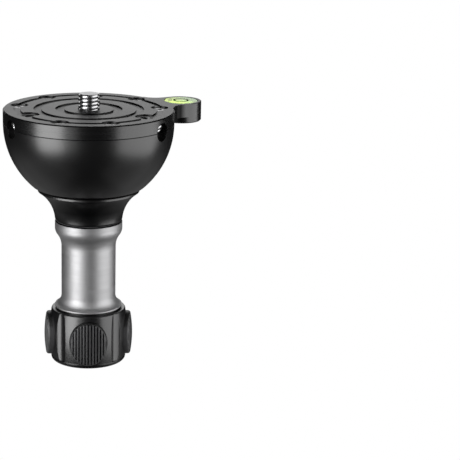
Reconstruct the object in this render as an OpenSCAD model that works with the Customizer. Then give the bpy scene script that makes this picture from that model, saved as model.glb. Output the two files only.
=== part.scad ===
// Bowl adapter for a video tripod: a half ball under a flat plate, a bubble level on a tab,
// a clamp collar below the ball and a turning handle that ends in a knob with ribbed grip pads.
// Millimetres. The origin is the middle of the plate's top face, +Z is up, +X runs through the level.

/* [Plate] */
// Diameter of the half ball and of the plate on it
ball_d = 75; // [70:1:100]
// Thickness of the plate
plate_t = 6; // [5.5:0.25:9]
// Chamfer round the plate's top edge
plate_edge = 0.5; // [0.2:0.1:1]
// Chamfer on each side of the seam between plate and ball
seam_edge = 0.2; // [0.1:0.05:0.5]
// Depth of the ring grooves in the plate's top
groove_depth = 0.7; // [0.3:0.05:1]
// Middle radius of the inner ring groove
inner_groove_r = 12.75; // [10:0.25:15]
// Width of the inner ring groove
inner_groove_w = 3.9; // [2:0.1:5]
// Middle radius of the middle ring groove
middle_groove_r = 22.5; // [20:0.25:24]
// Width of the middle ring groove
middle_groove_w = 3.4; // [2:0.1:5]
// Width of the outer ring groove, which the plate screws stand in
outer_groove_w = 2.8; // [2:0.1:5]

/* [Head stud] */
// Diameter of the stud that holds the camera head
stud_d = 9.525; // [6:0.005:12]
// Height of the stud above the plate
stud_l = 6.8; // [4:0.2:12]
// Chamfer at the stud's end
stud_end = 0.8; // [0.4:0.1:1.5]
// Relief of the stud's shank inside the plate
stud_relief = 0.4; // [0.2:0.05:0.8]
// Width across the flats of the stud's head
stud_head_af = 14.3; // [13:0.1:18]
// Height of the stud's head
stud_head_h = 6; // [4:0.2:8]
// How far the stud's head is let into the plate's underside
stud_head_sink = 2.6; // [1:0.1:3.5]

/* [Plate screws] */
// Distance of the screw circle in from the plate's edge
screw_edge = 6.2; // [5.6:0.1:7.5]
// Thread diameter of the plate screws
screw_d = 3; // [2.5:0.1:4]
// Head diameter of the plate screws
screw_head_d = 5.2; // [5:0.1:7]
// Diameter of the counterbores over the plate screws
screw_bore_d = 7.8; // [7:0.1:8.5]
// Depth of the screws' heads under the outer ring groove
screw_sink = 0.2; // [0.2:0.05:0.8]
// Length of the plate screws with their heads
screw_l = 12; // [9:0.5:14]
// Width across the flats of their hex sockets
screw_socket_af = 2; // [1.5:0.1:2.5]
// Depth of their hex sockets
screw_socket_h = 1; // [0.6:0.1:1.5]
// Spare depth of their holes below the screws
screw_spare = 1; // [0.5:0.1:2]

/* [Set screws] */
// Thread diameter of the set screws that lock the camera head
set_d = 4; // [3:0.5:5]
// Length of the set screws
set_l = 3.3; // [3:0.1:5]
// Lean of the set screws from upright
set_tilt = 55; // [50:1:60]
// Height of the cone point on the set screws
set_point = 1; // [0.5:0.05:1.5]
// Depth of the set screws' highest corner under the plate's top
set_sink = 1.9; // [0.6:0.1:2.4]
// Width across the flats of the set screws' hex sockets
set_socket_af = 2; // [1.5:0.1:2.5]
// Depth of the set screws' hex sockets
set_socket_h = 1.4; // [1:0.1:2.5]
// Chamfer round the set screws' socket ends and in their sockets' mouths
set_chamfer = 0.4; // [0.2:0.05:0.5]
// Distance of the set screws' outlets from the plate's edge
set_edge = 8.5; // [7.5:0.1:10]
// Diameter of the shallow round pocket about each outlet
pocket_d = 9.4; // [8:0.1:11]
// Diameter of the key notches in the rim
notch_d = 8.2; // [7:0.1:9]
// Depth of the key notches in the rim
notch_depth = 3.2; // [2:0.1:4]

/* [Level] */
// Distance of the level's middle beyond the plate's edge
tab_out = 8.9; // [8:0.1:14]
// Diameter of the tab's round end
tab_d = 18.4; // [17.5:0.1:22]
// Thickness of the tab's round end
tab_t = 8.9; // [7:0.1:10]
// Radius of the fillets between the tab and the plate
tab_fillet = 8; // [4:0.5:12]
// Diameter of the level's vial
vial_d = 15.2; // [12:0.1:16]
// Height of the level's vial with its base
vial_h = 6.2; // [5:0.1:6.5]
// Wall of the vial
vial_wall = 1.4; // [0.8:0.1:2]
// Thickness of the vial's base
vial_base_t = 1.2; // [0.8:0.1:1.6]
// Radius of the dome inside the vial's top
vial_dome_r = 40; // [30:1:80]
// Diameter of the bubble
bubble_d = 4.4; // [3:0.1:5]
// Diameter of the target ring, at the middle of its line
target_d = 6.3; // [5:0.1:8]
// Width of the target ring's line
target_w = 0.45; // [0.3:0.05:0.8]
// Depth of the target ring's line
target_t = 0.15; // [0.1:0.05:0.3]
// Diameter of the hole under the vial
vent_d = 3.5; // [2:0.1:5]

/* [Half ball] */
// Height of the half ball from the seam to its flat underside
ball_h = 28.4; // [26:0.2:31]
// Chamfer round the flat underside
ball_edge = 0.4; // [0.2:0.1:1]
// Width of the rim that the plate screws are driven into, inside the screw circle
rim_land = 5.3; // [4:0.1:8]
// Radius of the round corner at the foot of the ball's hollow
hollow_fillet = 5; // [2:0.5:7]
// Free height between the heads of the stud and the draw rod
head_gap = 3.5; // [2:0.1:5]

/* [Draw rod] */
// Diameter of the draw rod
rod_d = 12; // [10:0.5:13]
// Length of the draw rod below the ball
rod_l = 42; // [38:0.5:43]
// Chamfer at the end of the draw rod
rod_end = 1.2; // [0.5:0.1:2]
// Width across the flats of the rod's head and its nut
rod_af = 18; // [17:0.5:20]
// Height of the rod's head
rod_head_h = 7.5; // [6:0.1:9]
// Height of the rod's nut
nut_h = 6; // [5:0.1:7]
// Thickness of the washer on the nut
nut_washer_t = 1.6; // [1:0.1:2.5]
// Diameter of the washer on the nut
nut_washer_d = 24; // [23:0.1:26]
// How far the nut lies inside the ball's underside
nut_sink = 0.8; // [0.4:0.1:1.5]
// Width of the boss round the nut's pocket
boss_land = 2.7; // [1.5:0.1:4]

/* [Clamp collar] */
// Gap between the collar's rim and the ball, bridged by the boss
collar_gap = 1; // [0.5:0.1:2]
// Height of the collar
collar_h = 14.2; // [13:0.1:18]
// Diameter of the collar's rim
collar_rim_d = 45; // [40:0.5:50]
// Height of the straight band on the collar's rim
collar_band = 1.2; // [0.8:0.1:2]
// Diameter of the collar's neck
collar_neck_d = 29.8; // [28:0.2:34]
// Radius of the collar's flare
collar_flare = 17.2; // [13.5:0.1:22]
// Chamfer on the collar's rim and neck
collar_edge = 0.4; // [0.2:0.1:0.6]
// Thickness of the thrust washer under the collar
thrust_t = 0.7; // [0.4:0.1:2]
// How far the thrust washer lies inside the collar's neck
thrust_inset = 0.5; // [0.4:0.1:1.5]

/* [Handle tube] */
// Length of the handle tube
tube_l = 39.8; // [38:0.2:60]
// Diameter of the tube's grip
tube_d = 24.2; // [23:0.2:27]
// Diameter of the tube's head
tube_head_d = 30; // [28:0.2:34]
// Height of the straight part of the tube's head
tube_head_h = 3.2; // [2:0.1:5]
// Radius of the round shoulder under the head
shoulder_round = 4.8; // [3:0.1:6]
// Radius of the sweep from the shoulder into the grip
shoulder_sweep = 9.6; // [6:0.1:12]
// Diameter of the tube's foot
tube_foot_d = 30; // [28:0.2:32]
// Height of the band on the tube's foot
tube_foot_h = 0.9; // [0.6:0.1:1.5]
// Radius of the sweep from the grip into the foot
foot_sweep = 5; // [4:0.1:12]
// Chamfer on the edges of the tube's head and foot
tube_edge = 0.4; // [0.1:0.05:0.5]
// Wall of the tube round the threaded insert
tube_wall = 2.5; // [2:0.1:3]
// Length of the threaded insert
insert_l = 14; // [12:0.5:18]
// Step from the insert's seat to the tube's bore
insert_step = 1; // [0.5:0.1:1.5]
// Thickness of the tube's end wall
tube_end_t = 10; // [8:0.2:12]

/* [Knob] */
// Height of the knob
knob_h = 24.4; // [23:0.1:32]
// Gap between the tube's foot and the knob's shoulder
knob_gap = 0.6; // [0.2:0.05:1]
// Diameter of the knob at the ends of its barrel
knob_end_d = 33.3; // [31.5:0.1:36]
// Swell of the barrel's radius at its middle
knob_swell = 0.8; // [0.6:0.1:2]
// Radius of the round shoulder at the tube's end
knob_shoulder = 0.9; // [0.8:0.1:2.4]
// Diameter of the lip round the cap
knob_lip_d = 33.5; // [31:0.1:35]
// Height of the lip round the cap
knob_lip_h = 2.1; // [1.8:0.1:3]
// Radius of the lip's round edge
knob_lip_round = 1.7; // [0.8:0.1:1.8]
// Radius of the scallops between the grip pads
scallop_r = 5; // [2.5:0.1:6]
// Depth of the scallops at the middle of the barrel
scallop_depth = 1.1; // [0.8:0.1:2]
// Turn of the first grip pad from the level
pad_turn = -27; // [-90:1:90]
// Diameter of the knob over the grip pads
pad_over_d = 39.6; // [37.4:0.2:44]
// Width of the grip pads
pad_w = 16.8; // [14:0.2:18]
// Height of the grip pads
pad_h = 20.2; // [17:0.2:21]
// How far the pads' middle lies below the barrel's middle
pad_drop = 0.75; // [0:0.05:1.5]
// Radius of the round ends of the grip pads
pad_end_r = 7.7; // [6:0.1:8]
// Radius of the pads' faces from top to bottom
pad_dome_r = 53; // [40:1:100]
// Depth of the pads' seats in the barrel
pad_seat = 2.4; // [1.5:0.1:3]
// Number of grooves in each grip pad
rib_count = 12; // [6:1:14]
// Spacing of the grooves
rib_pitch = 1.36; // [1:0.02:1.6]
// Width of the grooves
rib_groove_w = 0.66; // [0.4:0.02:0.9]
// Depth of the grooves
rib_groove_h = 0.5; // [0.2:0.05:0.8]
// Diameter of the cap in the knob's end
cap_d = 27; // [24:0.1:28]
// Thickness of the cap
cap_t = 1.6; // [1:0.1:2]
// How far the cap stands out of the lip
cap_proud = 0.1; // [0.05:0.05:0.5]
// Chamfer round the cap
cap_edge = 0.3; // [0.1:0.05:0.6]
// Thread diameter of the knob's screw
knob_screw_d = 8; // [6:0.5:9]
// Head diameter of the knob's screw
knob_screw_head_d = 13; // [12:0.1:16]
// Head height of the knob's screw
knob_screw_head_h = 8; // [6:0.1:9]
// Width across the flats of the knob screw's hex socket
knob_screw_socket_af = 6; // [4:0.1:6.5]
// Free height between the knob's screw and the cap
knob_screw_gap = 2; // [1:0.1:3]
// Thread length of the knob's screw in the tube
knob_screw_bite = 6; // [5:0.1:6.5]
// Width across the flats of the hex key that drives the tube
key_af = 16; // [14:0.1:18]
// Height of the hex key
key_h = 3; // [2:0.1:3.2]

/* [Fits] */
// Radial clearance of turning and sliding fits
run_fit = 0.05; // [0.02:0.01:0.1]
// Clearance of seated pieces in their pockets
seat_fit = 0.1; // [0.05:0.01:0.2]

/* [Hidden] */
$fn = 96;

// Extra length that carries a cut clear through a face
over = 1;
// Overlap with which a round stretch crosses its neighbour, so that the two never only touch
cross = 0.002;
black = [0.09, 0.09, 0.1];
silver = [0.62, 0.62, 0.63];
steel = [0.78, 0.78, 0.79];

// Nine holes share the screw circle, and every third one holds a set screw
hole_count = 9;
hole_step = 360 / hole_count;
set_angles = [for (k = [0 : 2]) 60 + 120 * k];
screw_angles = [for (a = set_angles, s = [-hole_step, hole_step]) a + s];

// Heights, from the plate's top down to the cap
ball_r = ball_d / 2;
seam_z = -plate_t;
flat_z = seam_z - ball_h;
boss_z = flat_z - collar_gap;
collar_z = boss_z - collar_h;
tube_z = collar_z - thrust_t;
foot_z = tube_z - tube_l;
shoulder_z = foot_z - knob_gap;
end_z = shoulder_z - knob_h;

// Plate screws
screw_r = ball_r - screw_edge;
screw_top_z = -groove_depth - screw_sink;
screw_cone_h = (screw_head_d - screw_d) / 2;

// Set screws: distances are along the axis, from the plate's top outwards and down
set_r = set_d / 2;
set_tip = max(((set_r - set_point) * sin(set_tilt) + set_sink) / cos(set_tilt),
              (set_r * sin(set_tilt) + set_sink) / cos(set_tilt) - set_point);
notch_z = -set_edge / tan(set_tilt);
set_bore_l = (set_edge - notch_depth) / sin(set_tilt) + set_d;

// Level
tab_x = ball_r + tab_out;
tab_r = tab_d / 2;
vial_r = vial_d / 2;
liquid_r = vial_r - vial_wall;
liquid_top_z = -vial_wall;
vial_low_z = -vial_h + vial_base_t;
bubble_r = bubble_d / 2;

// Half ball and draw rod
flat_r = sqrt(ball_r * ball_r - ball_h * ball_h);
hollow_r = screw_r - rim_land;
hollow_z = seam_z + stud_head_sink - stud_head_h - head_gap - rod_head_h;
rod_r = rod_d / 2;
nut_low_z = boss_z + nut_sink;
nut_pocket_r = nut_washer_d / 2 + seat_fit * 2;
nut_pocket_z = nut_low_z + nut_h + nut_washer_t;
boss_r = nut_pocket_r + boss_land;
rod_low_z = flat_z - rod_l;

// Clamp collar: the flare starts under the band and runs upright into the neck
rim_r = collar_rim_d / 2;
neck_r = collar_neck_d / 2;
band_z = boss_z - collar_band;
flare_low_z = band_z - sqrt(pow(collar_flare, 2) - pow(collar_flare - (rim_r - neck_r), 2));

// Handle tube: a round shoulder and a sweep meet on one tangent, and the foot sweeps out again
tube_r = tube_d / 2;
head_r = tube_head_d / 2;
foot_r = tube_foot_d / 2;
head_low_z = tube_z - tube_head_h;
blend_angle = acos(1 - (head_r - tube_r) / (shoulder_round + shoulder_sweep));
blend_r = head_r - shoulder_round * (1 - cos(blend_angle));
blend_z = head_low_z - shoulder_round * sin(blend_angle);
grip_z = blend_z - shoulder_sweep * sin(blend_angle);
foot_rim_z = foot_z + tube_foot_h;
foot_sweep_z = foot_rim_z + sqrt(pow(foot_sweep, 2) - pow(foot_sweep - (foot_r - tube_r), 2));
insert_r = tube_r - tube_wall;
tube_bore_r = insert_r - insert_step;
insert_low_z = tube_z - insert_l;

// Knob
knob_end_r = knob_end_d / 2;
knob_lip_r = knob_lip_d / 2;
lip_z = end_z + knob_lip_h;
barrel_top_z = shoulder_z - knob_shoulder;
barrel_mid_z = (barrel_top_z + lip_z) / 2;
barrel_half = (barrel_top_z - lip_z) / 2;
barrel_r = knob_end_r + knob_swell;
barrel_arc = (barrel_half * barrel_half + knob_swell * knob_swell) / (2 * knob_swell);
pad_z = barrel_mid_z - pad_drop;
pad_face_r = pad_over_d / 2;
pad_floor = barrel_r - pad_seat;
pad_count = 4;
cap_r = cap_d / 2;
cap_low_z = end_z - cap_proud;
cap_top_z = cap_low_z + cap_t;
screw_head_z = cap_top_z + knob_screw_gap;
screw_seat_z = screw_head_z + knob_screw_head_h;

// A prism with six sides, given across its flats
module hex(af, h) {
    cylinder(d = af / cos(30), h = h, $fn = 6);
}

// A straight cylinder between two heights
module rod_between(r, low, high) {
    translate([0, 0, low]) cylinder(r = r, h = high - low);
}

// A flat ring between two radii and two heights
module ring_between(inner, outer, low, high) {
    difference() {
        rod_between(outer, low, high);
        rod_between(inner, low - over, high + over);
    }
}

// A disc whose top or bottom edge is chamfered by a cone
module chamfered_disc(r, low, high, top, bottom) {
    if (bottom > 0) translate([0, 0, low]) cylinder(r1 = r - bottom, r2 = r, h = bottom);
    rod_between(r, low + bottom, high - top);
    if (top > 0) translate([0, 0, high - top]) cylinder(r1 = r, r2 = r - top, h = top);
}

// Places its children on the axis of a set screw, pointing outwards and down from the plate's top
module on_set_axis(angle) {
    rotate([0, 0, angle]) translate([ball_r - set_edge, 0, 0]) rotate([0, 180 - set_tilt, 0]) children();
}

// Cylinders that drill the set screws' bores down to their key notches
module set_bores() {
    for (a = set_angles) on_set_axis(a)
        translate([0, 0, -set_d]) cylinder(r = set_r + run_fit, h = set_bore_l + set_d);
}

// Discs that mill a shallow pocket about each set screw's outlet
module set_pockets() {
    for (a = set_angles) rotate([0, 0, a]) translate([ball_r - set_edge, 0, 0])
        rod_between(pocket_d / 2, -groove_depth, over);
}

// Cylinders that mill the key notches into the rim
module key_notches() {
    for (a = set_angles) {
        rotate([0, 0, a]) translate([ball_r - notch_depth, 0, notch_z])
            rotate([0, 90, 0]) cylinder(d = notch_d, h = ball_r);
    }
}

// Outline of the tab's neck, which blends its round end into the plate's edge by two fillets
module neck_outline() {
    reach = ball_r + tab_fillet;
    arm = tab_r + tab_fillet;
    fillet_x = (reach * reach - arm * arm + tab_x * tab_x) / (2 * tab_x);
    fillet_y = sqrt(reach * reach - fillet_x * fillet_x);
    difference() {
        polygon([[0, 0], [fillet_x, -fillet_y], [tab_x, 0], [fillet_x, fillet_y]]);
        for (side = [-1, 1]) translate([fillet_x, side * fillet_y]) circle(tab_fillet + cross);
    }
}

module top_plate() color(black) {
    difference() {
        union() {
            chamfered_disc(ball_r, seam_z, 0, plate_edge, seam_edge);
            translate([0, 0, seam_z]) linear_extrude(plate_t) neck_outline();
            difference() {
                translate([tab_x, 0, 0]) chamfered_disc(tab_r, -tab_t, 0, seam_edge, plate_edge);
                rod_between(ball_r + seat_fit * 3, -tab_t - over, seam_z);
            }
        }
        ring_between(inner_groove_r - inner_groove_w / 2, inner_groove_r + inner_groove_w / 2, -groove_depth, over);
        ring_between(middle_groove_r - middle_groove_w / 2, middle_groove_r + middle_groove_w / 2,
                     -groove_depth, over);
        ring_between(screw_r - outer_groove_w / 2, screw_r + outer_groove_w / 2, -groove_depth, over);
        rod_between(stud_d / 2 + run_fit, seam_z - over, over);
        translate([0, 0, seam_z - over]) hex(stud_head_af + seat_fit * 2, stud_head_sink + over);
        for (a = screw_angles) rotate([0, 0, a]) translate([screw_r, 0, 0]) {
            rod_between(screw_d / 2 + run_fit, seam_z - over, 0);
            rod_between(screw_bore_d / 2, screw_top_z, over);
            translate([0, 0, screw_top_z - screw_cone_h])
                cylinder(r1 = screw_d / 2 + run_fit, r2 = screw_head_d / 2 + run_fit, h = screw_cone_h);
        }
        set_pockets();
        set_bores();
        key_notches();
        translate([tab_x, 0, 0]) {
            rod_between(vial_r + seat_fit, -vial_h, over);
            rod_between(vent_d / 2, -tab_t - over, 0);
        }
    }
}

module half_ball() color(black) {
    difference() {
        union() {
            intersection() {
                translate([0, 0, seam_z]) sphere(r = ball_r);
                union() {
                    chamfered_disc(ball_r, flat_z + ball_edge, seam_z, seam_edge, 0);
                    translate([0, 0, flat_z])
                        cylinder(r1 = flat_r - ball_edge / 2, r2 = flat_r + ball_edge, h = ball_edge);
                }
            }
            rod_between(boss_r, boss_z, flat_z + over);
        }
        rotate_extrude() hollow_outline();
        rod_between(rod_r + run_fit, boss_z - over, hollow_z + over);
        rod_between(nut_pocket_r, boss_z - over, nut_pocket_z);
        for (a = screw_angles) rotate([0, 0, a]) translate([screw_r, 0, 0])
            rod_between(screw_d / 2 + run_fit, screw_top_z - screw_l - screw_spare, seam_z + over);
        set_bores();
        key_notches();
    }
}

// Half section of the ball's hollow, with a round corner at its foot
module hollow_outline() {
    corner_r = hollow_r - hollow_fillet;
    corner_z = hollow_z + hollow_fillet;
    polygon([[0, hollow_z], [corner_r, hollow_z], [hollow_r, corner_z], [hollow_r, seam_z + over],
             [0, seam_z + over]]);
    translate([corner_r, corner_z]) circle(hollow_fillet + cross);
}

module head_stud() color(steel) {
    head_top_z = seam_z + stud_head_sink;
    chamfered_disc(stud_d / 2, 0, stud_l, stud_end, 0);
    rod_between(stud_d / 2 - stud_relief, head_top_z - over, over);
    translate([0, 0, head_top_z - stud_head_h]) hex(stud_head_af, stud_head_h);
}

module plate_screws() color(steel) {
    for (a = screw_angles) rotate([0, 0, a]) translate([screw_r, 0, screw_top_z]) difference() {
        union() {
            translate([0, 0, -screw_cone_h]) cylinder(d1 = screw_d, d2 = screw_head_d, h = screw_cone_h);
            translate([0, 0, -screw_l]) cylinder(d = screw_d, h = screw_l - screw_cone_h);
        }
        translate([0, 0, -screw_socket_h]) hex(screw_socket_af, screw_socket_h + over);
    }
}

module draw_rod() color(steel) {
    chamfered_disc(rod_r, rod_low_z, hollow_z, 0, rod_end);
    translate([0, 0, hollow_z]) hex(rod_af, rod_head_h);
}

module rod_washer() color(steel) {
    ring_between(rod_r + run_fit, nut_washer_d / 2, nut_pocket_z - nut_washer_t, nut_pocket_z);
}

module rod_nut() color(steel) {
    difference() {
        translate([0, 0, nut_low_z]) hex(rod_af, nut_h);
        rod_between(rod_r + run_fit, nut_low_z - over, nut_low_z + nut_h + over);
    }
}

// Half section of the space inside the vial, with a shallow dome over it
module liquid_outline() {
    intersection() {
        translate([0, vial_low_z]) square([liquid_r, liquid_top_z - vial_low_z]);
        translate([0, liquid_top_z - vial_dome_r]) circle(vial_dome_r);
    }
}

module bubble() {
    // Two round caps, the upper one with the dome of the vial
    lower_r = bubble_r * 1.25;
    intersection() {
        rod_between(bubble_r, vial_low_z, liquid_top_z);
        translate([0, 0, liquid_top_z - vial_dome_r]) sphere(r = vial_dome_r - run_fit);
        translate([0, 0, liquid_top_z + lower_r / 4]) sphere(r = lower_r);
    }
}

module level_vial() color([0.85, 0.95, 0.6, 0.4]) translate([tab_x, 0, 0]) {
    difference() {
        chamfered_disc(vial_r, vial_low_z, 0, plate_edge, 0);
        rotate_extrude() liquid_outline();
        ring_between(target_d / 2 - target_w / 2, target_d / 2 + target_w / 2, -target_t, over);
    }
}

module level_base() color([0.8, 0.9, 0.3]) translate([tab_x, 0, 0]) {
    rod_between(vial_r, -vial_h, vial_low_z);
}

module level_liquid() color([0.75, 0.9, 0.25, 0.6]) translate([tab_x, 0, 0]) {
    difference() {
        rotate_extrude() liquid_outline();
        bubble();
    }
}

module level_bubble() color([0.95, 1, 0.8, 0.5]) translate([tab_x, 0, 0]) {
    bubble();
}

module level_ring() color(black) translate([tab_x, 0, 0]) {
    ring_between(target_d / 2 - target_w / 2, target_d / 2 + target_w / 2, -target_t, 0);
}

module set_screw(angle) color(steel) on_set_axis(angle) translate([0, 0, set_tip]) difference() {
    union() {
        cylinder(r1 = set_r - set_point, r2 = set_r, h = set_point);
        translate([0, 0, set_point]) cylinder(r = set_r, h = set_l - set_chamfer - set_point);
        translate([0, 0, set_l - set_chamfer]) cylinder(r1 = set_r, r2 = set_r - set_chamfer, h = set_chamfer);
    }
    translate([0, 0, set_l - set_socket_h]) hex(set_socket_af, set_socket_h + over);
    translate([0, 0, set_l - set_chamfer])
        cylinder(r1 = set_socket_af / 2, r2 = set_socket_af / 2 + set_chamfer + over, h = set_chamfer + over);
}

module clamp_collar() color(black) {
    difference() {
        chamfered_disc(rim_r, collar_z, boss_z, collar_edge, 0);
        rotate_extrude() translate([neck_r + collar_flare, flare_low_z]) circle(collar_flare + cross);
        ring_between(neck_r, rim_r + over, collar_z - over, max(flare_low_z, collar_z - over / 2));
        rod_between(rod_r + run_fit, collar_z - over, boss_z + over);
        difference() {
            rod_between(rim_r, collar_z - over, collar_z + collar_edge);
            translate([0, 0, collar_z]) cylinder(r1 = neck_r - collar_edge, r2 = neck_r, h = collar_edge);
        }
    }
}

module thrust_washer() color([0.15, 0.15, 0.16]) {
    ring_between(rod_r + seat_fit * 4, neck_r - thrust_inset, tube_z, collar_z);
}

// Half section of the tube's outside
module tube_outline() {
    sweep_x = tube_r + shoulder_sweep;
    difference() {
        union() {
            polygon([[0, foot_z], [foot_r - tube_edge, foot_z], [foot_r, foot_z + tube_edge],
                     [foot_r, foot_sweep_z], [tube_r, foot_sweep_z], [tube_r, grip_z], [sweep_x, grip_z],
                     [head_r - shoulder_round, head_low_z], [head_r, head_low_z], [head_r, tube_z - tube_edge],
                     [head_r - tube_edge, tube_z], [0, tube_z]]);
            intersection() {
                translate([head_r - shoulder_round, head_low_z]) circle(shoulder_round + cross);
                translate([0, grip_z]) square([sweep_x, head_low_z + tube_head_h / 2 - grip_z]);
            }
        }
        translate([sweep_x, grip_z]) circle(shoulder_sweep + cross);
        translate([tube_r + foot_sweep, foot_sweep_z]) circle(foot_sweep + cross);
    }
}

module handle_tube() color(silver) {
    difference() {
        rotate_extrude() tube_outline();
        rod_between(insert_r, insert_low_z, tube_z + over);
        rod_between(tube_bore_r, foot_z + tube_end_t, tube_z);
        rod_between(knob_screw_d / 2 + run_fit, foot_z - over, foot_z + tube_end_t + over);
        translate([0, 0, foot_z - over]) hex(key_af + seat_fit * 2, key_h + seat_fit + over);
    }
}

module thread_insert() color([0.72, 0.58, 0.3]) {
    ring_between(rod_r + run_fit, insert_r - run_fit, insert_low_z, tube_z);
}

// Half section of the knob: a round shoulder, a swelling barrel and the lip round the cap
module knob_outline() {
    land_r = knob_end_r - knob_shoulder;
    lip_round_r = knob_lip_r - knob_lip_round;
    lip_round_z = end_z + knob_lip_round;
    polygon([[0, barrel_mid_z], [land_r, barrel_mid_z], [land_r, shoulder_z], [foot_r - over, shoulder_z],
             [foot_r - over, foot_z], [0, foot_z]]);
    translate([land_r, barrel_top_z]) circle(knob_shoulder + cross);
    intersection() {
        translate([barrel_r - barrel_arc, barrel_mid_z]) circle(barrel_arc);
        translate([0, lip_z - over / 2]) square([barrel_r + over, 2 * barrel_half + over / 2]);
    }
    polygon([[0, end_z], [lip_round_r, end_z], [knob_lip_r, lip_round_z], [knob_lip_r, lip_z], [0, lip_z]]);
    translate([lip_round_r, lip_round_z]) circle(knob_lip_round + cross);
}

module knob_body() color(black) {
    floor_r = barrel_r - scallop_depth;
    difference() {
        union() {
            rotate_extrude() knob_outline();
            translate([0, 0, foot_z - over]) hex(key_af, key_h + over);
        }
        for (k = [0 : pad_count - 1]) rotate([0, 0, pad_turn + (k + 0.5) * 360 / pad_count])
            translate([floor_r + scallop_r, 0, 0]) rod_between(scallop_r, lip_z, foot_z);
        for (k = [0 : pad_count - 1]) on_pad_axis(k) translate([0, 0, pad_floor])
            linear_extrude(pad_face_r) oval(pad_w / 2 + seat_fit, pad_h / 2 + seat_fit, pad_end_r + seat_fit);
        rod_between(knob_screw_d / 2 + run_fit, screw_seat_z - over, foot_z + key_h + over);
        rod_between(knob_screw_head_d / 2 + seat_fit * 2, end_z - over, screw_seat_z);
        rod_between(cap_r + seat_fit, end_z - over, cap_top_z);
    }
}

module knob_screw() color(steel) {
    difference() {
        union() {
            rod_between(knob_screw_d / 2, screw_seat_z, foot_z + key_h + knob_screw_bite);
            rod_between(knob_screw_head_d / 2, screw_head_z, screw_seat_z);
        }
        translate([0, 0, screw_head_z - over]) hex(knob_screw_socket_af, knob_screw_head_h / 2 + over);
    }
}

// Places its children on the outward axis of a grip pad, with Y up the knob
module on_pad_axis(index) {
    rotate([0, 0, pad_turn + index * 360 / pad_count]) translate([0, 0, pad_z])
        rotate([90, 0, 90]) children();
}

// An oval of four arcs: round ends joined by flatter sides that meet them on a tangent
module oval(half_w, half_h, end_r) {
    rise = half_h - end_r;
    side_r = (half_w * half_w + rise * rise - end_r * end_r) / (2 * (half_w - end_r));
    for (s = [-1, 1]) translate([0, s * rise]) circle(end_r);
    for (s = [-1, 1]) intersection() {
        translate([s * (half_w - side_r), 0]) circle(side_r - cross);
        polygon([[s * (half_w - side_r), 0],
                 [s * side_r, rise * (2 * side_r - half_w) / (side_r - half_w)],
                 [s * side_r, -rise * (2 * side_r - half_w) / (side_r - half_w)]]);
    }
}

// A ribbed grip pad: an oval block with a domed face and upright grooves that follow the dome
module grip_pad(index) color([0.13, 0.13, 0.14]) {
    difference() {
        intersection() {
            on_pad_axis(index) translate([0, 0, pad_floor])
                linear_extrude(pad_face_r) oval(pad_w / 2, pad_h / 2, pad_end_r);
            rotate_extrude() pad_face_outline();
        }
        for (k = [0 : rib_count - 1]) rib_groove(index, (k - (rib_count - 1) / 2) * rib_pitch / pad_face_r);
    }
}

// Half section of the barrel that the pads' faces lie on
module pad_face_outline() {
    intersection() {
        translate([pad_face_r - pad_dome_r, pad_z]) circle(pad_dome_r);
        translate([0, pad_z - pad_h]) square([pad_face_r, 2 * pad_h]);
    }
}

// A slab that cuts one groove, with its floor at an even depth under the domed face
module rib_groove(index, turn) {
    rotate([0, 0, pad_turn + index * 360 / pad_count + turn * 180 / PI])
        translate([pad_face_r - pad_dome_r, rib_groove_w / 2, pad_z]) rotate([90, 0, 0])
            linear_extrude(rib_groove_w) difference() {
                translate([pad_dome_r - pad_face_r / 2, -pad_h]) square([pad_face_r, 2 * pad_h]);
                circle(pad_dome_r - rib_groove_h);
            }
}

module knob_cap() color(silver) {
    chamfered_disc(cap_r, cap_low_z, cap_top_z, 0, cap_edge);
}

top_plate();
half_ball();
head_stud();
plate_screws();
draw_rod();
rod_washer();
rod_nut();
level_vial();
level_base();
level_liquid();
level_bubble();
level_ring();
set_screw(set_angles[0]);  // set_screw_1
set_screw(set_angles[1]);  // set_screw_2
set_screw(set_angles[2]);  // set_screw_3
clamp_collar();
thrust_washer();
handle_tube();
thread_insert();
knob_body();
knob_screw();
grip_pad(0);  // grip_pad_1
grip_pad(1);  // grip_pad_2
grip_pad(2);  // grip_pad_3
grip_pad(3);  // grip_pad_4
knob_cap();
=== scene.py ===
import math

import bmesh
import bpy
import numpy as np
from mathutils import Matrix, Vector


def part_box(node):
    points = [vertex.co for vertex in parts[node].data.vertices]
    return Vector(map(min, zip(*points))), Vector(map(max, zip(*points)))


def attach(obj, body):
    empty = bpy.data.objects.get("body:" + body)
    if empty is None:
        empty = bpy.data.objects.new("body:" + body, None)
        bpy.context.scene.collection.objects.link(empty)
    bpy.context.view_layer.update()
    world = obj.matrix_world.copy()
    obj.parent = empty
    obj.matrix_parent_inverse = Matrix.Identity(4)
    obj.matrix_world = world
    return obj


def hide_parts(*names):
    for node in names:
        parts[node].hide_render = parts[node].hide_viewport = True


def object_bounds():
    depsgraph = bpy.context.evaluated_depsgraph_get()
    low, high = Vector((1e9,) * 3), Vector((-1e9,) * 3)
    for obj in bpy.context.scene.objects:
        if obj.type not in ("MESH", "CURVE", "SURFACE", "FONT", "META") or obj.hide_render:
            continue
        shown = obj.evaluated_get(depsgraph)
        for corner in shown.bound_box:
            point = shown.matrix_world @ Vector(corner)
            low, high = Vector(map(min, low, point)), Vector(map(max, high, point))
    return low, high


# Video bowl adapter: half ball, top plate, clamp collar and turning handle.
# The scene is in metres in the CAD frame: +Z up, +X through the bubble level, origin in the middle of
# the plate's top face. The dictionaries of the pieces are in millimetres, camera and studio in metres.

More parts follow.
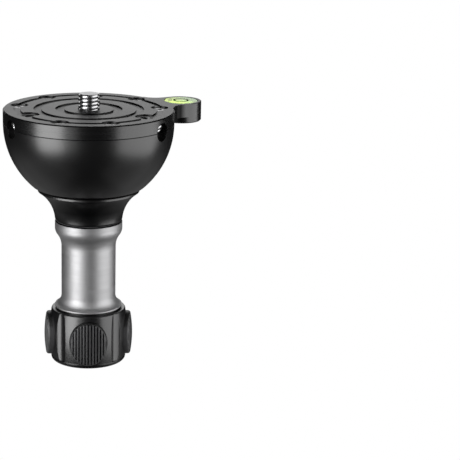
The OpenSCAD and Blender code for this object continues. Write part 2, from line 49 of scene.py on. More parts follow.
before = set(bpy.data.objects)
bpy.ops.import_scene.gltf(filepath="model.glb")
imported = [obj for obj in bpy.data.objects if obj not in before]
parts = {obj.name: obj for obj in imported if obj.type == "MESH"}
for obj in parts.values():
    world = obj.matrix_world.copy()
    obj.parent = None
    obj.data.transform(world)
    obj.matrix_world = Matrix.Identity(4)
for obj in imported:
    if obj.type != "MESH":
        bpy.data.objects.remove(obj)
cadBox = [list(corner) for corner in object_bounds()]
mm = 0.001
print("frame loaded,", len(parts), "CAD pieces")


# small tools

weldDistance = 1e-7
sharpAngle = math.radians(40)


def linear(hexColour):  # sRGB hex to linear RGBA, by the sRGB curve
    srgb = np.array([int(hexColour[i:i + 2], 16) for i in (1, 3, 5)]) / 255
    low = srgb / 12.92
    high = ((srgb + 0.055) / 1.055) ** 2.4
    return (*np.where(srgb <= 0.04045, low, high), 1.0)


def smooth(share):  # goes from 0 to 1 with a level start and end
    return share ** 2 * (3 - 2 * share)


def addNode(tree, kind, links=None, **settings):  # one node with its settings and links
    made = tree.nodes.new(kind)
    for key, value in settings.items():
        name = key.replace("_", " ")
        if hasattr(made, key):
            setattr(made, key, value)
        else:
            made.inputs[name].default_value = value
    for socket, source in (links or {}).items():
        tree.links.new(source, made.inputs[socket])
    return made


def newMaterial(name):
    mat = bpy.data.materials.new(name)
    mat.use_nodes = True
    mat.node_tree.nodes.clear()
    return mat, mat.node_tree


def closeMaterial(tree, shader):
    addNode(tree, "ShaderNodeOutputMaterial", {"Surface": shader.outputs[0]})


def dress(material, *nodes):  # gives CAD nodes a finish
    for name in nodes:
        obj = parts[name]
        if not obj.material_slots:
            obj.data.materials.append(material)
        for slot in obj.material_slots:
            slot.material = material


def makePiece(name, points, quads, body, material, replaced=()):  # a mesh that rides on a body
    mesh = bpy.data.meshes.new(name)
    mesh.from_pydata(points.reshape(-1, 3).tolist(), [], quads.tolist())
    shell = bmesh.new()
    shell.from_mesh(mesh)
    bmesh.ops.remove_doubles(shell, verts=shell.verts, dist=weldDistance)
    bmesh.ops.recalc_face_normals(shell, faces=shell.faces)
    shell.to_mesh(mesh)
    shell.free()
    mesh.shade_smooth()
    mesh.set_sharp_from_angle(angle=sharpAngle)
    obj = bpy.data.objects.new(name, mesh)
    bpy.context.scene.collection.objects.link(obj)
    mesh.materials.append(material)
    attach(obj, body)
    if replaced:
        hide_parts(*replaced)


def gridQuads(rows, cols, closeRows=False, closeCols=False):  # quads between neighbours of a grid
    rowNumbers = np.arange(rows if closeRows else rows - 1)
    colNumbers = np.arange(cols if closeCols else cols - 1)
    row, col = np.meshgrid(rowNumbers, colNumbers, indexing="ij")
    nextRow = (row + 1) % rows
    nextCol = (col + 1) % cols
    corners = [row * cols + col, row * cols + nextCol, nextRow * cols + nextCol, nextRow * cols + col]
    return np.stack(corners, -1).reshape(-1, 4)


# finishes: where a comment says "to match the photograph", the tone is matched to the photograph and its
# cause isn't known, beyond what the comment calls painted

def blackAnodised(name, lineDepth, topRough, baseRough, underShine=0.5):
    # Aluminium, turned, lightly blasted and dyed black: a satin sheen with a fine grain in it.
    # Blast grain is about 0.1 mm and is drawn at 0.35 mm so that it shows.
    # Turning lines run round the object, so their noise is stretched flat: 0.4 mm high, 40 mm long.
    # To match the photograph, faces that look straight up are more matt by topRough, and those that
    # lean down shine by underShine, where 0.5 is like the rest.
    grainSize = 0.35 * mm
    lineHeight = 0.4 * mm
    lineLength = 40 * mm
    lineRough = 0.2 * lineDepth
    mat, tree = newMaterial(name)
    coords = addNode(tree, "ShaderNodeTexCoord")
    grain = addNode(tree, "ShaderNodeTexNoise", {"Vector": coords.outputs["Object"]},
                    Scale=1 / grainSize, Detail=2.0, Roughness=0.6)
    flat = addNode(tree, "ShaderNodeMapping", {"Vector": coords.outputs["Object"]},
                   Scale=(1 / lineLength, 1 / lineLength, 1 / lineHeight))
    lines = addNode(tree, "ShaderNodeTexNoise", {"Vector": flat.outputs[0]}, Scale=1.0, Detail=2.0)
    satin = addNode(tree, "ShaderNodeMapRange", {"Value": lines.outputs[0]}, From_Min=0.3, From_Max=0.7,
                    To_Min=baseRough, To_Max=baseRough + lineRough)
    axes = addNode(tree, "ShaderNodeSeparateXYZ", {"Vector": coords.outputs["Normal"]})
    matt = addNode(tree, "ShaderNodeMapRange", {"Value": axes.outputs["Z"]}, From_Min=0.9, From_Max=1.0,
                   To_Min=0.0, To_Max=topRough)
    rough = addNode(tree, "ShaderNodeMath", {0: satin.outputs[0], 1: matt.outputs[0]}, operation="ADD")
    under = addNode(tree, "ShaderNodeMapRange", {"Value": axes.outputs["Z"]}, From_Min=-0.4, From_Max=-0.1,
                    To_Min=underShine, To_Max=0.5)
    tint = addNode(tree, "ShaderNodeValToRGB", {"Fac": grain.outputs[0]})
    tint.color_ramp.elements[0].color = linear("#020202")
    tint.color_ramp.elements[1].color = linear("#050506")
    turned = addNode(tree, "ShaderNodeBump", {"Height": lines.outputs[0]}, Strength=lineDepth,
                     Distance=0.1 * mm)
    blasted = addNode(tree, "ShaderNodeBump", {"Height": grain.outputs[0], "Normal": turned.outputs[0]},
                      Strength=0.15, Distance=0.05 * mm)
    shader = addNode(tree, "ShaderNodeBsdfPrincipled", {
        "Base Color": tint.outputs[0], "Roughness": rough.outputs[0], "Normal": blasted.outputs[0],
        "Specular IOR Level": under.outputs[0]}, IOR=1.7)
    closeMaterial(tree, shader)
    return mat


def silverAnodised(name, shadeFromZ):
    # Aluminium, blasted and clear anodised: a grey metal with a broad, soft shine and a trace of
    # turning lines, drawn as noise that is 0.7 mm high and 30 mm long.
    # Above a given height it is black: painted shade in the gap at the tube's top, to match the
    # photograph's dark line there.
    grainSize = 0.3 * mm
    lineHeight = 0.7 * mm
    lineLength = 30 * mm
    shadeFade = 0.05 * mm
    mat, tree = newMaterial(name)
    coords = addNode(tree, "ShaderNodeTexCoord")
    grain = addNode(tree, "ShaderNodeTexNoise", {"Vector": coords.outputs["Object"]},
                    Scale=1 / grainSize, Detail=3.0, Roughness=0.65)
    flat = addNode(tree, "ShaderNodeMapping", {"Vector": coords.outputs["Object"]},
                   Scale=(1 / lineLength, 1 / lineLength, 1 / lineHeight))
    lines = addNode(tree, "ShaderNodeTexNoise", {"Vector": flat.outputs[0]}, Scale=1.0, Detail=2.0)
    rough = addNode(tree, "ShaderNodeMapRange", {"Value": lines.outputs[0]}, From_Min=0.3, From_Max=0.7,
                    To_Min=0.45, To_Max=0.55)
    tint = addNode(tree, "ShaderNodeValToRGB", {"Fac": grain.outputs[0]})
    tint.color_ramp.elements[0].color = linear("#a0a0a1")
    tint.color_ramp.elements[1].color = linear("#a9a9aa")
    bump = addNode(tree, "ShaderNodeBump", {"Height": grain.outputs[0]}, Strength=0.08, Distance=0.05 * mm)
    axes = addNode(tree, "ShaderNodeSeparateXYZ", {"Vector": coords.outputs["Object"]})
    # painted shade: black above the given height
    inPaintedShade = addNode(tree, "ShaderNodeMapRange", {"Value": axes.outputs["Z"]}, From_Min=shadeFromZ - shadeFade,
                     From_Max=shadeFromZ + shadeFade)
    withPaintedShade = addNode(tree, "ShaderNodeMix", {"Factor": inPaintedShade.outputs[0], "A": tint.outputs[0]},
                    data_type="RGBA")
    withPaintedShade.inputs["B"].default_value = linear("#060606")
    shader = addNode(tree, "ShaderNodeBsdfPrincipled", {
        "Base Color": withPaintedShade.outputs["Result"], "Roughness": rough.outputs[0], "Normal": bump.outputs[0]},
        Metallic=1.0)
    closeMaterial(tree, shader)
    return mat


def platedSteel():
    # Zinc plated steel: bright, with faint clouding. Faces that look straight up, such as the stud's
    # end, are more matt, to match the photograph.
    cloudSize = 1.5 * mm
    mat, tree = newMaterial("bright zinc plated steel")
    coords = addNode(tree, "ShaderNodeTexCoord")
    cloud = addNode(tree, "ShaderNodeTexNoise", {"Vector": coords.outputs["Object"]},
                    Scale=1 / cloudSize, Detail=3.0)
    bright = addNode(tree, "ShaderNodeMapRange", {"Value": cloud.outputs[0]}, From_Min=0.3, From_Max=0.7,
                     To_Min=0.2, To_Max=0.3)
    axes = addNode(tree, "ShaderNodeSeparateXYZ", {"Vector": coords.outputs["Normal"]})
    matt = addNode(tree, "ShaderNodeMapRange", {"Value": axes.outputs["Z"]}, From_Min=0.9, From_Max=1.0,
                   To_Min=0.0, To_Max=0.2)
    rough = addNode(tree, "ShaderNodeMath", {0: bright.outputs[0], 1: matt.outputs[0]}, operation="ADD")
    shader = addNode(tree, "ShaderNodeBsdfPrincipled", {"Roughness": rough.outputs[0]}, Metallic=1.0)
    shader.inputs["Base Color"].default_value = linear("#b4b4b5")
    closeMaterial(tree, shader)
    return mat


def knobPlastic():
    # Nylon, moulded in a fine spark texture: dark, with a wide grey sheen that an IOR above nylon's
    # gives. The texture is about 0.15 mm and is drawn at 0.3 mm so that it shows.
    # The lip at the cap shines less than the rest, to match the photograph.
    grainSize = 0.3 * mm
    lipHeight = 2.1 * mm
    lipFade = 0.4 * mm
    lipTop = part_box("knob_body")[0][2] + lipHeight
    mat, tree = newMaterial("moulded black nylon")
    coords = addNode(tree, "ShaderNodeTexCoord")
    axes = addNode(tree, "ShaderNodeSeparateXYZ", {"Vector": coords.outputs["Object"]})
    shine = addNode(tree, "ShaderNodeMapRange", {"Value": axes.outputs["Z"]}, From_Min=lipTop,
                    From_Max=lipTop + lipFade, To_Min=0.25, To_Max=0.5)
    grain = addNode(tree, "ShaderNodeTexNoise", {"Vector": coords.outputs["Object"]},
                    Scale=1 / grainSize, Detail=3.0, Roughness=0.6)
    tint = addNode(tree, "ShaderNodeValToRGB", {"Fac": grain.outputs[0]})
    tint.color_ramp.elements[0].color = linear("#040405")
    tint.color_ramp.elements[1].color = linear("#0a0a0b")
    rough = addNode(tree, "ShaderNodeMapRange", {"Value": grain.outputs[0]}, From_Min=0.3, From_Max=0.7,
                    To_Min=0.26, To_Max=0.32)
    bump = addNode(tree, "ShaderNodeBump", {"Height": grain.outputs[0]}, Strength=0.15, Distance=0.06 * mm)
    shader = addNode(tree, "ShaderNodeBsdfPrincipled", {
        "Base Color": tint.outputs[0], "Roughness": rough.outputs[0], "Normal": bump.outputs[0],
        "Specular IOR Level": shine.outputs[0]}, IOR=1.72)
    closeMaterial(tree, shader)
    return mat


def padRubber():
    # Moulded rubber: dark grey and matt, a little uneven. Faces that lean up are painted black: painted
    # shade, to match the photograph's dark crescent at the top of the front pad.
    cloudSize = 2.5 * mm
    mat, tree = newMaterial("moulded grey rubber")
    coords = addNode(tree, "ShaderNodeTexCoord")
    cloud = addNode(tree, "ShaderNodeTexNoise", {"Vector": coords.outputs["Object"]},
                    Scale=1 / cloudSize, Detail=4.0, Roughness=0.65)
    axes = addNode(tree, "ShaderNodeSeparateXYZ", {"Vector": coords.outputs["Normal"]})
    # painted shade: faces that lean up go black
    grey = addNode(tree, "ShaderNodeMapRange", {"Value": axes.outputs["Z"]}, From_Min=0.2, From_Max=0.45,
                   To_Min=1.0, To_Max=0.0)
    shade = addNode(tree, "ShaderNodeMath", {0: cloud.outputs[0], 1: grey.outputs[0]},
                    operation="MULTIPLY")
    tint = addNode(tree, "ShaderNodeValToRGB", {"Fac": shade.outputs[0]})
    tint.color_ramp.elements[0].color = linear("#040404")
    tint.color_ramp.elements[1].color = linear("#3c3c3d")
    tint.color_ramp.elements.new(0.2).color = linear("#323233")
    shader = addNode(tree, "ShaderNodeBsdfPrincipled", {"Base Color": tint.outputs[0]},
                     Roughness=0.45, IOR=1.5)
    closeMaterial(tree, shader)
    return mat


def brassInsert():
    # Turned brass with lathe lines. The wave node turns 20 radians for each unit of its scaled length,
    # so with 0.4 mm to the radian the lines are drawn 2.5 mm apart.
    radianLength = 0.4 * mm
    radiansPerUnit = 20
    mat, tree = newMaterial("turned brass")
    coords = addNode(tree, "ShaderNodeTexCoord")
    lines = addNode(tree, "ShaderNodeTexWave", {"Vector": coords.outputs["Object"]},
                    bands_direction="Z", Scale=1 / radianLength / radiansPerUnit, Distortion=0.3)
    bump = addNode(tree, "ShaderNodeBump", {"Height": lines.outputs[0]}, Strength=0.1, Distance=0.05 * mm)
    shader = addNode(tree, "ShaderNodeBsdfPrincipled", {"Normal": bump.outputs[0]},
                     Metallic=1.0, Roughness=0.3)
    shader.inputs["Base Color"].default_value = linear("#c9a45c")
    closeMaterial(tree, shader)
    return mat


def washerPlastic():
    # Acetal, turned: grey and waxy. Only the middle of its edge is grey, and towards both faces it is
    # painted black: painted shade in the gaps beside it, to match the photograph's dark lines there.
    cloudSize = 2 * mm
    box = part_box("thrust_washer")
    middle = (box[0][2] + box[1][2]) / 2
    half = (box[1][2] - box[0][2]) / 2
    mat, tree = newMaterial("turned grey acetal")
    coords = addNode(tree, "ShaderNodeTexCoord")
    cloud = addNode(tree, "ShaderNodeTexNoise", {"Vector": coords.outputs["Object"]}, Scale=1 / cloudSize)
    rough = addNode(tree, "ShaderNodeMapRange", {"Value": cloud.outputs[0]}, From_Min=0.3, From_Max=0.7,
                    To_Min=0.6, To_Max=0.75)
    axes = addNode(tree, "ShaderNodeSeparateXYZ", {"Vector": coords.outputs["Object"]})
    offset = addNode(tree, "ShaderNodeMath", {0: axes.outputs["Z"]}, operation="SUBTRACT")
    offset.inputs[1].default_value = middle
    away = addNode(tree, "ShaderNodeMath", {0: offset.outputs[0]}, operation="ABSOLUTE")
    # painted shade: black towards both faces, grey only in the middle
    grey = addNode(tree, "ShaderNodeMapRange", {"Value": away.outputs[0]}, From_Min=0.2 * half,
                   From_Max=0.5 * half, To_Min=1.0, To_Max=0.0)
    tint = addNode(tree, "ShaderNodeValToRGB", {"Fac": grey.outputs[0]})
    tint.color_ramp.elements[0].color = linear("#030303")
    tint.color_ramp.elements[1].color = linear("#454546")
    shader = addNode(tree, "ShaderNodeBsdfPrincipled", {
        "Base Color": tint.outputs[0], "Roughness": rough.outputs[0]}, IOR=1.48, Specular_IOR_Level=0.0)
    closeMaterial(tree, shader)
    return mat


def clouded(tree, size, low, high):  # a soft change of colour, size in millimetres
    coords = addNode(tree, "ShaderNodeTexCoord")
    cloud = addNode(tree, "ShaderNodeTexNoise", {"Vector": coords.outputs["Object"]},
                    Scale=1 / (size * mm), Detail=2.0)
    tint = addNode(tree, "ShaderNodeValToRGB", {"Fac": cloud.outputs[0]})
    tint.color_ramp.elements[0].color = linear(low)
    tint.color_ramp.elements[1].color = linear(high)
    return tint.outputs[0]


def neckWithPaintedShade():
    # The tab's neck: black anodised like the plate, but its shine is cut in the corner by the plate's edge:
    # painted shade, to match the photograph. The shine comes in between two distances from the axis along
    # X.
    shineFrom = 41.2 * mm
    shineFull = 43.8 * mm
    mat, tree = newMaterial("black anodised aluminium, painted shade in corner")
    tint = clouded(tree, 1, "#020202", "#050506")
    coords = addNode(tree, "ShaderNodeTexCoord")
    axes = addNode(tree, "ShaderNodeSeparateXYZ", {"Vector": coords.outputs["Object"]})
    # painted shade: less shine towards the plate's edge
    shine = addNode(tree, "ShaderNodeMapRange", {"Value": axes.outputs["X"]}, From_Min=shineFrom,
                    From_Max=shineFull, To_Min=0.05, To_Max=0.5)
    shader = addNode(tree, "ShaderNodeBsdfPrincipled", {
        "Base Color": tint, "Specular IOR Level": shine.outputs[0]}, Roughness=0.28, IOR=1.7)
    closeMaterial(tree, shader)
    return mat


def limeAcross(tree, near, far):
    # The level's colour, to match the photograph: near on the side towards the stud, far on the outer
    # side. It changes along a level line that runs mostly with the X axis.
    direction = (0.97, 0.24, 0)
    nearShare = 0.6
    farShare = 0.9
    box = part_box("level_base")
    radius = (box[1][0] - box[0][0]) / 2
    middle = direction[0] * (box[0][0] + box[1][0]) / 2
    coords = addNode(tree, "ShaderNodeTexCoord")
    across = addNode(tree, "ShaderNodeVectorMath", {0: coords.outputs["Object"]}, operation="DOT_PRODUCT")
    across.inputs[1].default_value = direction
    share = addNode(tree, "ShaderNodeMapRange", {"Value": across.outputs["Value"]},
                    From_Min=middle - nearShare * radius, From_Max=middle + farShare * radius)
    tint = addNode(tree, "ShaderNodeValToRGB", {"Fac": share.outputs[0]})
    tint.color_ramp.elements[0].color = linear(near)
    tint.color_ramp.elements[1].color = linear(far)
    return tint.outputs[0]


def clearAcrylic():
    # Acrylic, clear and polished. With the IOR of real acrylic the level looked whitish, so it hardly
    # refracts here and has a little painted glow, to match the photograph's lime.
    mat, tree = newMaterial("clear acrylic")
    tint = limeAcross(tree, "#e0eca8", "#bcc8ba")
    shader = addNode(tree, "ShaderNodeBsdfPrincipled", {"Base Color": tint, "Emission Color": tint},
                     Roughness=0.05, IOR=1.02, Specular_IOR_Level=0.0, Emission_Strength=0.42)
    shader.inputs["Transmission Weight"].default_value = 0.75
    closeMaterial(tree, shader)
    return mat


def levelLiquid():
    # Dyed spirit, yellow green. Like the acrylic it hardly refracts and has a little painted glow, and
    # it lets little light through, so that its colour matches the photograph.
    mat, tree = newMaterial("yellow green spirit")
    tint = limeAcross(tree, "#d2ee50", "#b4d084")
    shader = addNode(tree, "ShaderNodeBsdfPrincipled", {"Base Color": tint, "Emission Color": tint},
                     Roughness=0.3, IOR=1.05, Specular_IOR_Level=0.0, Emission_Strength=0.35)
    shader.inputs["Transmission Weight"].default_value = 0.15
    closeMaterial(tree, shader)
    return mat


def levelBacking():
    # Matt styrene behind the spirit, with a painted glow that is set to match the photograph.
    mat, tree = newMaterial("styrene with painted glow")
    tint = limeAcross(tree, "#d6f238", "#b0d06c")
    shader = addNode(tree, "ShaderNodeBsdfPrincipled", {"Base Color": tint, "Emission Color": tint},
                     Roughness=0.6, IOR=1.59, Emission_Strength=0.45)
    closeMaterial(tree, shader)
    return mat


def levelAir():
    # The bubble: air in spirit, drawn as a pale, mostly clear lens with a painted glow.
    mat, tree = newMaterial("air bubble")
    tint = clouded(tree, 4, "#d2e6a4", "#dceeb4")
    shader = addNode(tree, "ShaderNodeBsdfPrincipled", {"Base Color": tint, "Emission Color": tint},
                     Roughness=0.1, IOR=1.05, Alpha=0.35, Emission_Strength=0.5)
    closeMaterial(tree, shader)
    return mat


def levelPaint():
    # Black line printed on the vial's top: dead matt and a little uneven, with a trace of green.
    mat, tree = newMaterial("black printed line")
    tint = clouded(tree, 1.5, "#10140a", "#2a3318")
    shader = addNode(tree, "ShaderNodeBsdfPrincipled", {"Base Color": tint}, Roughness=0.9, IOR=1.5,
                     Specular_IOR_Level=0.0)
    closeMaterial(tree, shader)
    return mat


# painted shade: how much of the tube's top is painted black
paintedShadeBand = 0.25 * mm
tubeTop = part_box("handle_tube")[1][2]
blackMetal = blackAnodised("black anodised aluminium", lineDepth=0.0, topRough=0.0, baseRough=0.3)
turnedMetal = blackAnodised("black anodised aluminium, turned", lineDepth=0.15, topRough=0.2,
                            baseRough=0.25)
blastedMetal = blackAnodised("black anodised aluminium, blasted", lineDepth=0.02, topRough=0.0,
                             baseRough=0.3, underShine=0.12)
neckMetal = neckWithPaintedShade()
silverMetal = silverAnodised("silver anodised aluminium", tubeTop - paintedShadeBand)
steel = platedSteel()
nylon = knobPlastic()
rubber = padRubber()
brass = brassInsert()
acetal = washerPlastic()
acrylic = clearAcrylic()
spirit = levelLiquid()
styrene = levelBacking()
air = levelAir()
lineBlack = levelPaint()

dress(turnedMetal, "top_plate")
dress(blackMetal, "half_ball")
dress(blastedMetal, "clamp_collar")
dress(silverMetal, "handle_tube", "knob_cap")
dress(steel, "head_stud", "plate_screws", "draw_rod", "rod_washer", "rod_nut", "knob_screw",
      "set_screw_1", "set_screw_2", "set_screw_3")
dress(nylon, "knob_body")
dress(rubber, "grip_pad_1", "grip_pad_2", "grip_pad_3", "grip_pad_4")
dress(brass, "thread_insert")
dress(acetal, "thrust_washer")
dress(acrylic, "level_vial")
dress(spirit, "level_liquid")
dress(styrene, "level_base")
dress(air, "level_bubble")
dress(lineBlack, "level_ring")
print("finishes on")


# head stud: a 3/8 inch bolt, 16 threads to the inch

# The stud's end is the CAD box's highest point.
inch = 25.4
studTop = cadBox[1][2] / mm
stud = dict(crestR=3 / 8 * inch / 2, pitch=inch / 16, depth=0.97, crest=0.42, crestFall=0.3, top=studTop,
            crown=0.02, crownShare=0.97, chamfer=0.45, headZ=-3.4, shankR=4.3625, headAf=14.3,
            headH=6.0, around=128, steps=150)


def threadedStud(size):
    # Thread: a helix that climbs one pitch a turn. The crest takes up its share of the pitch and falls
    # back by crestFall towards its top; the rest is a groove with a sharp root and straight flanks.
    # Below the plate's top the radius is at most shankR, and the end has a chamfer.
    # Head: below the shank the radius is that of a hexagon, af/2 over cos of the angle from the flat.
    angle = np.linspace(0, 2 * np.pi, size["around"], endpoint=False)
    z = np.linspace(size["headZ"], size["top"] - size["crown"], size["steps"])
    phase = (z[:, None] / size["pitch"] - angle[None] / (2 * np.pi)) % 1
    rootAt = (1 + size["crest"]) / 2
    drop = np.interp(phase, [0, size["crest"], rootAt, 1], [0, size["crestFall"], size["depth"], 0])
    endR = size["crestR"] - np.clip(z - (size["top"] - size["chamfer"]), 0, None)
    shankR = np.where(z < 0, size["shankR"], size["crestR"])
    threadR = np.minimum(size["crestR"] - drop, np.minimum(endR, shankR)[:, None])
    fromFlat = (angle + np.pi / 6) % (np.pi / 3) - np.pi / 6
    hexR = size["headAf"] / 2 / np.cos(fromFlat)
    lowZ = size["headZ"] - size["headH"]
    head = np.array([0 * hexR, hexR, hexR])
    tip = np.array([threadR[-1] * size["crownShare"], threadR[-1] * 0])
    radius = np.concatenate([head, threadR, tip])
    level = np.concatenate([[lowZ, lowZ, size["headZ"]], z, [size["top"], size["top"]]])
    height = np.repeat(level[:, None], size["around"], 1)
    points = np.stack([radius * np.cos(angle), radius * np.sin(angle), height], -1)
    return points * mm, gridQuads(len(level), size["around"], closeCols=True)


studPoints, studQuads = threadedStud(stud)
makePiece("stud_threaded", studPoints, studQuads, "ball", steel, ("head_stud",))
print("stud threaded")


# target ring: a line printed on the vial's top, about the middle of the tab's round end

# The tab's end is the CAD box's farthest point in X, and its middle lies tabR short of that.
tabR = 9.2
levelX = cadBox[1][0] / mm - tabR
target = dict(x=levelX, innerR=2.75, outerR=3.55, low=-0.1, top=0.03, around=96)


def printedRing(size):
    # A flat washer: four circles, joined round its section
    angle = np.linspace(0, 2 * np.pi, size["around"], endpoint=False)
    radius = np.array([size["innerR"], size["outerR"], size["outerR"], size["innerR"]])[:, None]
    z = np.array([size["low"], size["low"], size["top"], size["top"]])[:, None]
    points = np.stack([size["x"] + radius * np.cos(angle), radius * np.sin(angle), z + 0 * angle], -1)
    return points * mm, gridQuads(len(z), size["around"], closeRows=True, closeCols=True)


ringPoints, ringQuads = printedRing(target)
makePiece("ring_printed", ringPoints, ringQuads, "ball", lineBlack, ("level_ring",))
print("target printed")


# tab's neck: its sides run straight from the round end and flare into the plate

# The plate's edge is the CAD box's other end in X. The pieces stay inside the plate's faces by inset.
plateR = -cadBox[0][0] / mm
neck = dict(endX=levelX, halfW=tabR, plateR=plateR, flareR=8.0, depth=6.0, inset=0.02, core=2.0,
            coreShift=0.6, steps=25)


def straightNeck(size, side):
    # Outline from the end's widest point along a straight line, then an arc of flareR that meets the
    # plate's edge on a tangent. A second line, core deeper in the metal, closes the sliver.
    flareY = size["halfW"] + size["flareR"]
    flareX = math.sqrt((size["plateR"] + size["flareR"]) ** 2 - flareY ** 2)
    bend = np.linspace(0, math.atan2(flareX, flareY), size["steps"])
    line = np.linspace(size["endX"], flareX, size["steps"], endpoint=False)
    x = np.concatenate([line, flareX - size["flareR"] * np.sin(bend)])
    y = np.concatenate([np.full(size["steps"], size["halfW"]), flareY - size["flareR"] * np.cos(bend)])
    outer = np.stack([x, side * y], -1)
    inner = np.stack([x - size["coreShift"], side * (y - size["core"])], -1)
    outline = np.stack([outer, outer, inner, inner])
    high = -size["inset"]
    low = size["inset"] - size["depth"]
    z = np.array([high, low, low, high])
    height = np.broadcast_to(z[:, None, None], (*outline.shape[:2], 1))
    points = np.concatenate([outline, height], -1)
    return points * mm, gridQuads(len(z), len(x), closeRows=True)


for name, side in (("tab_neck_near", -1), ("tab_neck_far", 1)):
    neckPoints, neckQuads = straightNeck(neck, side)
    makePiece(name, neckPoints, neckQuads, "ball", neckMetal)
print("neck straightened")


# grip pads: ovals of rubber with upright ribs on a domed face and a rounded rim

# The pads stand padLift higher than the CAD pads, to match the photograph. The grooves begin ribStart in
# from the outline and are full at ribFull; waveShift and waveSpan set how wide they are.
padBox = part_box("grip_pad_1")
padLift = 0.1
padMidZ = (padBox[0][2] + padBox[1][2]) / 2 / mm + padLift
pad = dict(halfW=8.25, halfH=9.95, endR=7.6, faceR=19.8, domeR=53.0, floorX=15.05, midZ=padMidZ, rim=1.0,
           ribPitch=1.36, ribDepth=0.9, ribStart=0.2, ribFull=0.75, waveShift=0.15, waveSpan=0.9,
           cols=205, rows=64, turns=(-27, 63, 153, 243))


def ribbedPad(size, turn):
    # Outline: four arcs, round ends of endR and flatter sides that meet them on a tangent.
    # The columns run across the pad and each is as tall as the outline there.
    rise = size["halfH"] - size["endR"]
    sideR = (size["halfW"] ** 2 + rise ** 2 - size["endR"] ** 2) / (2 * (size["halfW"] - size["endR"]))
    shift = sideR - size["halfW"]
    meet = size["endR"] * shift / (sideR - size["endR"])
    y = size["halfW"] * np.sin(np.linspace(-np.pi / 2, np.pi / 2, size["cols"]))
    away = np.abs(y)
    endTop = rise + np.sqrt(np.clip(size["endR"] ** 2 - y ** 2, 0, None))
    sideTop = np.sqrt(np.clip(sideR ** 2 - (away + shift) ** 2, 0, None))
    top = np.where(away < meet, endTop, sideTop)
    z = np.sin(np.linspace(-np.pi / 2, np.pi / 2, size["rows"]))[:, None] * top
    # Distance in from the outline, measured from the arc that bounds that part of the pad
    inEnd = (np.abs(z) > rise) & (away * rise < shift * (np.abs(z) - rise))
    fromEnd = size["endR"] - np.hypot(y, np.abs(z) - rise)
    fromSide = sideR - np.hypot(away + shift, z)
    inset = np.where(inEnd, fromEnd, fromSide)
    # Face: a barrel of domeR, lowered by the rounded rim and by the grooves between the ribs.
    # A groove lies in the middle, and all of them run out in the rim.
    barrelR = size["faceR"] - size["domeR"] + np.sqrt(size["domeR"] ** 2 - z ** 2)
    rimOut = np.clip(size["rim"] - inset, 0, size["rim"])
    rimDrop = size["rim"] - np.sqrt(size["rim"] ** 2 - rimOut ** 2)
    arc = size["faceR"] * np.arcsin(y / size["faceR"])
    swing = np.cos(2 * np.pi * arc / size["ribPitch"])
    wave = np.clip((swing + size["waveShift"]) / size["waveSpan"], 0, 1)
    within = np.clip((inset - size["ribStart"]) / (size["ribFull"] - size["ribStart"]), 0, 1)
    ribDrop = size["ribDepth"] * smooth(wave) * smooth(within)
    x = np.sqrt(barrelR ** 2 - y ** 2) - rimDrop - ribDrop
    # The last two rows are the flat back
    x = np.concatenate([x, np.full((2, size["cols"]), size["floorX"])])
    z = np.concatenate([z, z[-1:], z[:1]])
    y = np.broadcast_to(y, x.shape)
    cosTurn = math.cos(math.radians(turn))
    sinTurn = math.sin(math.radians(turn))
    points = np.stack([x * cosTurn - y * sinTurn, x * sinTurn + y * cosTurn, z + size["midZ"]], -1)
    return points * mm, gridQuads(len(z), size["cols"], closeRows=True)


for number, turn in enumerate(pad["turns"], 1):
    padPoints, padQuads = ribbedPad(pad, turn)
    makePiece(f"pad_ribbed_{number}", padPoints, padQuads, "handle", rubber,
              (f"grip_pad_{number}",))
print("pads ribbed")


# camera: the photograph's left view, worked out from the plate, the tube rims and the collar

shot = dict(azimuth=-27.0, elevation=16.2, distance=0.778, aimZ=-0.065, focal=1732.0, column=88.6,
            row=251.3, lean=-0.15, frame=460, sensor=36.0, clipStart=0.01, rolls=4, probe=0.01)


def placeCamera(view):
    # The camera stands on a ball about a point on the axis, then turns until that point falls on its
    # pixel, rolls until the axis is upright there, and leans a little. Angles are in degrees, sensor in
    # millimetres; focal length, column, row and frame are in pixels of the photograph.
    azimuth = math.radians(view["azimuth"])
    elevation = math.radians(view["elevation"])
    level = math.cos(elevation)
    aim = Vector((0, 0, view["aimZ"]))
    above = aim + Vector((0, 0, view["probe"]))
    back = Vector((math.sin(azimuth) * level, -math.cos(azimuth) * level, math.sin(elevation)))
    spot = aim + back * view["distance"]
    half = view["frame"] / 2
    ray = Vector(((view["column"] - half) / view["focal"], (half - view["row"]) / view["focal"], -1))
    ray.normalize()
    turn = back.to_track_quat("Z", "Y").to_matrix()
    turn = turn @ ray.rotation_difference(Vector((0, 0, -1))).to_matrix()
    for _ in range(view["rolls"]):
        near = turn.transposed() @ (aim - spot)
        far = turn.transposed() @ (above - spot)
        lean = math.atan2(far.x / far.z - near.x / near.z, far.y / far.z - near.y / near.z)
        turn = turn @ Matrix.Rotation(lean - math.copysign(math.pi, lean), 3, ray)
    turn = turn @ Matrix.Rotation(math.radians(view["lean"]), 3, ray)
    lens = bpy.data.cameras.new("camera")
    lens.sensor_width = view["sensor"]
    lens.lens = view["focal"] * view["sensor"] / view["frame"]
    lens.clip_start = view["clipStart"]
    camera = bpy.data.objects.new("camera", lens)
    camera.matrix_world = Matrix.Translation(spot) @ turn.to_4x4()
    bpy.context.scene.collection.objects.link(camera)
    bpy.context.scene.camera = camera


placeCamera(shot)
print("camera placed")


# studio: a white background, soft boxes left and right, a wall behind and light from the floor

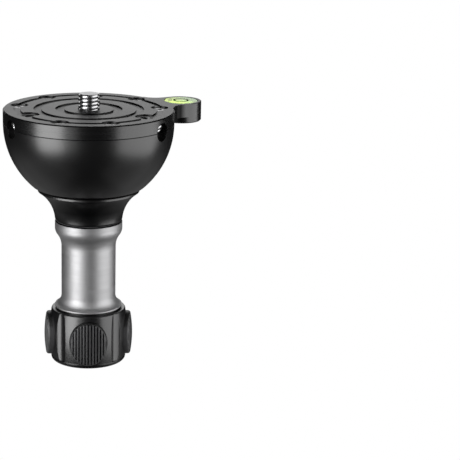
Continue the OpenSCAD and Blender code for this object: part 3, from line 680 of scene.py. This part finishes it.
studio = dict(
    worldGrey=0.015, middleZ=-0.055, floorGlow=0.01, backGlow=0.2,
    floorFrom=-0.3, floorFull=-0.6, frontEdge=-0.35, backEdge=0.55,
    boxes=[dict(name="left box", side=-53, up=9.5, away=0.8, wide=0.58, tall=1.14, watts=11.0),
           dict(name="left spill", side=-24, up=9.5, away=0.8, wide=0.22, tall=1.14, watts=0.7),
           dict(name="right box", side=71, up=7.5, away=0.8, wide=1.08, tall=1.23, watts=9.6),
           dict(name="back wall", side=180, up=22, away=1.2, wide=0.9, tall=0.8, watts=3.3),
           dict(name="left floor", side=-80, up=-50, away=0.7, wide=0.8, tall=0.45, watts=0.15),
           dict(name="right floor", side=80, up=-50, away=0.7, wide=0.8, tall=0.45, watts=0.21)])


def lightStudio(setup):
    # A box's place is given round the object from the camera's side: degrees to the right, then up.
    scene = bpy.context.scene
    azimuth = math.radians(shot["azimuth"])
    toCamera = Vector((math.sin(azimuth), -math.cos(azimuth), 0))
    toRight = Vector((math.cos(azimuth), math.sin(azimuth), 0))
    middle = Vector((0, 0, setup["middleZ"]))
    for box in setup["boxes"]:
        side = math.radians(box["side"])
        up = math.radians(box["up"])
        level = toCamera * math.cos(side) + toRight * math.sin(side)
        back = level * math.cos(up) + Vector((0, 0, math.sin(up)))
        lamp = bpy.data.lights.new(box["name"], "AREA")
        lamp.shape = "RECTANGLE"
        lamp.size = box["wide"]
        lamp.size_y = box["tall"]
        lamp.energy = box["watts"]
        obj = bpy.data.objects.new(box["name"], lamp)
        facing = back.to_track_quat("Z", "Y").to_matrix().to_4x4()
        obj.matrix_world = Matrix.Translation(middle + back * box["away"]) @ facing
        obj.visible_camera = False
        scene.collection.objects.link(obj)
    world = bpy.data.worlds.new("studio")
    world.use_nodes = True
    tree = world.node_tree
    tree.nodes.clear()
    path = addNode(tree, "ShaderNodeLightPath")
    # What the object sees below it: a pale floor from 17 degrees down, brighter behind the object.
    coords = addNode(tree, "ShaderNodeTexCoord")
    axes = addNode(tree, "ShaderNodeSeparateXYZ", {"Vector": coords.outputs["Generated"]})
    low = addNode(tree, "ShaderNodeMapRange", {"Value": axes.outputs["Z"]}, interpolation_type="SMOOTHSTEP",
                  From_Min=setup["floorFrom"], From_Max=setup["floorFull"], To_Min=0.0, To_Max=1.0)
    along = addNode(tree, "ShaderNodeVectorMath", {0: coords.outputs["Generated"]}, operation="DOT_PRODUCT")
    along.inputs[1].default_value = -toCamera
    behind = addNode(tree, "ShaderNodeMapRange", {"Value": along.outputs["Value"]},
                     interpolation_type="SMOOTHSTEP",
                     From_Min=setup["frontEdge"], From_Max=setup["backEdge"],
                     To_Min=setup["floorGlow"], To_Max=setup["floorGlow"] + setup["backGlow"])
    glow = addNode(tree, "ShaderNodeMath", {0: low.outputs[0], 1: behind.outputs[0]}, operation="MULTIPLY")
    total = addNode(tree, "ShaderNodeMath", {0: glow.outputs[0]}, operation="ADD")
    total.inputs[1].default_value = setup["worldGrey"]
    dim = addNode(tree, "ShaderNodeBackground", {"Strength": total.outputs[0]}, Color=(1, 1, 1, 1))
    white = addNode(tree, "ShaderNodeBackground", Color=(1, 1, 1, 1), Strength=1.0)
    both = addNode(tree, "ShaderNodeMixShader", {0: path.outputs["Is Camera Ray"], 1: dim.outputs[0],
                                                 2: white.outputs[0]})
    addNode(tree, "ShaderNodeOutputWorld", {"Surface": both.outputs[0]})
    scene.world = world
    scene.view_settings.view_transform = "Standard"


lightStudio(studio)
print("studio lit")
